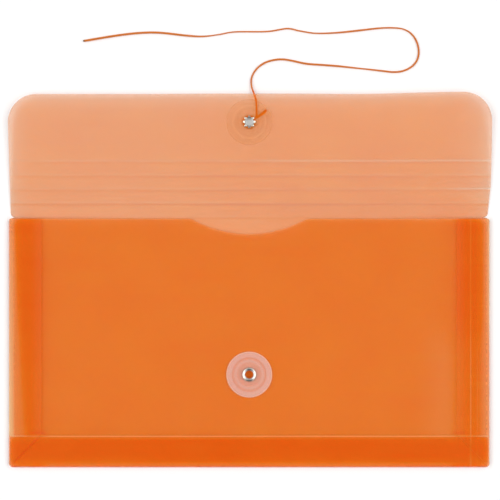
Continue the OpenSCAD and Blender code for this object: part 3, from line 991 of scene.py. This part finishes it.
def under_flap(drop):
    """Puts a turned piece on the flap's eyelet, facing the table, this far below the film's inner face."""
    return lambda x, y, z: on_flap(x, y + flap_eyelet_y, film_t / 2 - drop - z)


def frosted_moulding(name, alpha):
    material, tree = new_material(name, {"Alpha": alpha, "Specular IOR Level": 0.35})
    grain = put(tree, "ShaderNodeGroup", {
        "Grain Scale": 1900, "Cloud Scale": 90, "Mottle Scale": 500, "Streaks": 0}, node_tree=fine_grain)
    tone = mixed(tree, grain.outputs["Tone"], (0.93, 0.85, 0.82, 1), (0.98, 0.91, 0.88, 1))
    surface(tree, tone, grain.outputs["Grain"], 0.1, 0.0001, rough=(0.36, 0.2))
    return material


def button_ring(r):
    return [r < outer for _, outer, _ in ring_alphas].index(True)


frosted = [frosted_moulding("frosted_" + ring, alpha) for ring, _, alpha in ring_alphas]
for node, place in (("pocket_button", on_pocket(stack_h)), ("flap_button", under_flap(film_t + string_gap))):
    button = add_piece(node + "_disc", turned(button_section(), 120, place, frosted, button_ring))
    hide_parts(node)
    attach(button, node)


# Eyelets: nickel-plated sheet metal, one through each button. A rolled flange holds the button, and the
# barrel's far end is split into eight petals that are clinched over the film.
bore_r = 2.1
barrel_r = 2.45
flange_r = 3.8
flange_h = 0.55
flange_play = 0.1
petal_count = 8
petal_middle = [(2.26, 0.1), (2.28, -0.1), (2.38, -0.26), (2.58, -0.36), (2.85, -0.38), (3.12, -0.31),
                (3.33, -0.16)]
petal_half_angles = [22.4, 21.5, 18.5, 15, 11.5, 8.5, 5.5]
petal_half_t = 0.13
petal_crown = 0.04


def barrel_section(grip):
    """Barrel and rolled flange: radius, and height over the face that the petals bear on."""
    r = (((flange_r - bore_r) / 2) ** 2 + flange_h ** 2) / (2 * flange_h)
    centre = ((flange_r + bore_r) / 2, grip + flange_h - r)
    spread = degrees(asin((flange_r - bore_r) / 2 / r))
    section = [(bore_r, 0), *arc(centre, r, 90 + spread, 90 - spread, 19)]
    return section + [(flange_r - 0.06, grip), (barrel_r, grip), (barrel_r, 0), (barrel_r - 0.12, -0.03)]


def in_bore(r):
    return int(r < bore_r + 0.02)


def petal_mesh():
    """One clinched petal: a tongue of sheet metal that rolls outwards to a blunt tip."""
    across = 7
    row = 2 * across
    last = len(petal_middle) - 1
    verts = []
    for k, ((r, z), half) in enumerate(zip(petal_middle, petal_half_angles)):
        before, after = petal_middle[max(k - 1, 0)], petal_middle[min(k + 1, last)]
        along = Vector((after[0] - before[0], after[1] - before[1])).normalized()
        for side in (1, -1):
            for t in np.linspace(-side, side, across):
                out = petal_half_t * side + petal_crown * (1 - t * t) * side
                radius = r + along[1] * -out
                height = z + along[0] * out
                a = radians(half * t)
                verts.append(Vector((radius * cos(a), radius * sin(a), height)) * MM)
    faces = grid_faces(last + 1, row, open_rows=1)
    for end in (0, last * row):
        faces += [[end + j, end + j + 1, end + row - 2 - j, end + row - 1 - j] for j in range(across - 1)]
    return smooth_outside(new_mesh(verts, faces))


def round_pattern_tree():
    """Repeats a mesh round the upright axis."""
    tree, given = new_group(
        "round_pattern", "GeometryNodeTree",
        {"Petal": "Geometry", "Count": "Int", "Material": "Material"}, {"Ring": "Geometry"})
    number = geo(tree, "InputIndex")
    angle = calc(tree, "DIVIDE", times(tree, number, 2 * pi), given["Count"])
    turn = made(tree, "FunctionNodeAxisAngleToRotation", {"Axis": (0, 0, 1), "Angle": angle})
    points = geo(tree, "Points", {"Count": given["Count"]})
    ring = geo(tree, "InstanceOnPoints", {"Points": points, "Instance": given["Petal"], "Rotation": turn})
    ring = geo(tree, "RealizeInstances", {"Geometry": ring})
    ring = geo(tree, "SetMaterial", {"Geometry": ring, "Material": given["Material"]})
    put(tree, "NodeGroupOutput", {"Ring": ring})
    return tree


def plated(name, metallic, dull, dark, bright):
    material, tree = new_material(name, {"Metallic": metallic})
    where = put(tree, "ShaderNodeTexCoord").outputs["Object"]
    stains = noise(tree, where, 700, 4)
    scuffs = noise(tree, where, 5200, 3)
    surface(tree, mixed(tree, stains, dark, bright), scuffs, 0.08, 0.00005, rough=(dull, 0.2))
    return material


nickel = plated("nickel_plate", 1.0, 0.12, (0.6, 0.585, 0.53, 1), (0.8, 0.785, 0.74, 1))
dull_bore = plated("dull_nickel", 0.35, 0.3, (0.88, 0.86, 0.82, 1), (0.94, 0.92, 0.89, 1))
round_pattern = round_pattern_tree()
for node, body, place, grip in (
        ("pocket_eyelet", "front", on_pocket(stack_h - film_t), film_t + button_t + flange_play),
        ("flap_eyelet", "lid", under_flap(0), film_t + string_gap + button_t + flange_play)):
    petals = run_tree(petal_mesh(), round_pattern, {"Count": petal_count, "Material": nickel})
    for vertex in petals.vertices:
        vertex.co = place(*(vertex.co / MM)) * MM
    if node == "flap_eyelet":
        petals.flip_normals()
    barrel = turned(barrel_section(grip), 96, place, [nickel, dull_bore], in_bore)
    eyelet = add_piece(node + "_nickel", joined([barrel, petals]))
    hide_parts(node)
    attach(eyelet, body)


# Table: a plain white top with a matt finish, just below the envelope.
# It is one flat sheet, far wider than the view.
table_half = 6.0
table_z = -0.00003
table_corners = [(x * table_half, y * table_half, table_z) for x, y in ((-1, -1), (1, -1), (1, 1), (-1, 1))]
table_mesh = new_mesh(table_corners, [(0, 1, 2, 3)])
white, _ = new_material("white_table", {
    "Base Color": (0.985, 0.985, 0.985, 1), "Roughness": 0.8, "Specular IOR Level": 0.1})
table_mesh.materials.append(white)
add_piece("table_top", table_mesh)


# Light: a pale room, brightest to the left and right, grey overhead, with the dark camera stand at the front.
# A large soft box hangs on each side of the table, high up.
box_x = 1.15
box_z = 1.85
scene.cycles.transparent_max_bounces = 48
world = bpy.data.worlds.new("room")
world.use_nodes = True
scene.world = world
tree = world.node_tree
direction = put(tree, "ShaderNodeTexCoord").outputs["Generated"]
parts = put(tree, "ShaderNodeSeparateXYZ", {0: direction}).outputs
walls = mixed(tree, times(tree, parts["X"], parts["X"]), (0.7, 0.7, 0.7, 1), (0.9, 0.9, 0.9, 1))
room = mixed(tree, calc(tree, "MAXIMUM", parts["Z"], 0), walls, (0.25, 0.25, 0.25, 1))
ahead = climb(tree, parts["Y"], -0.1, -0.35)
aside = climb(tree, calc(tree, "ABSOLUTE", parts["X"]), 0.4, 0.15)
stand = times(tree, ahead, aside)
tree.links.new(mixed(tree, stand, room, (0.02, 0.02, 0.02, 1)), tree.nodes["Background"].inputs["Color"])
for side in (-1, 1):
    box = bpy.data.lights.new("soft_box", "AREA")
    box.shape = "RECTANGLE"
    box.size = 1.2
    box.size_y = 2.2
    box.energy = 23
    lamp = bpy.data.objects.new("soft_box", box)
    lamp.location = (box_x * side, 0.05, box_z)
    lamp.rotation_euler = (0, atan2(box_x, box_z) * side, 0)
    lamp.visible_camera = False
    scene.collection.objects.link(lamp)
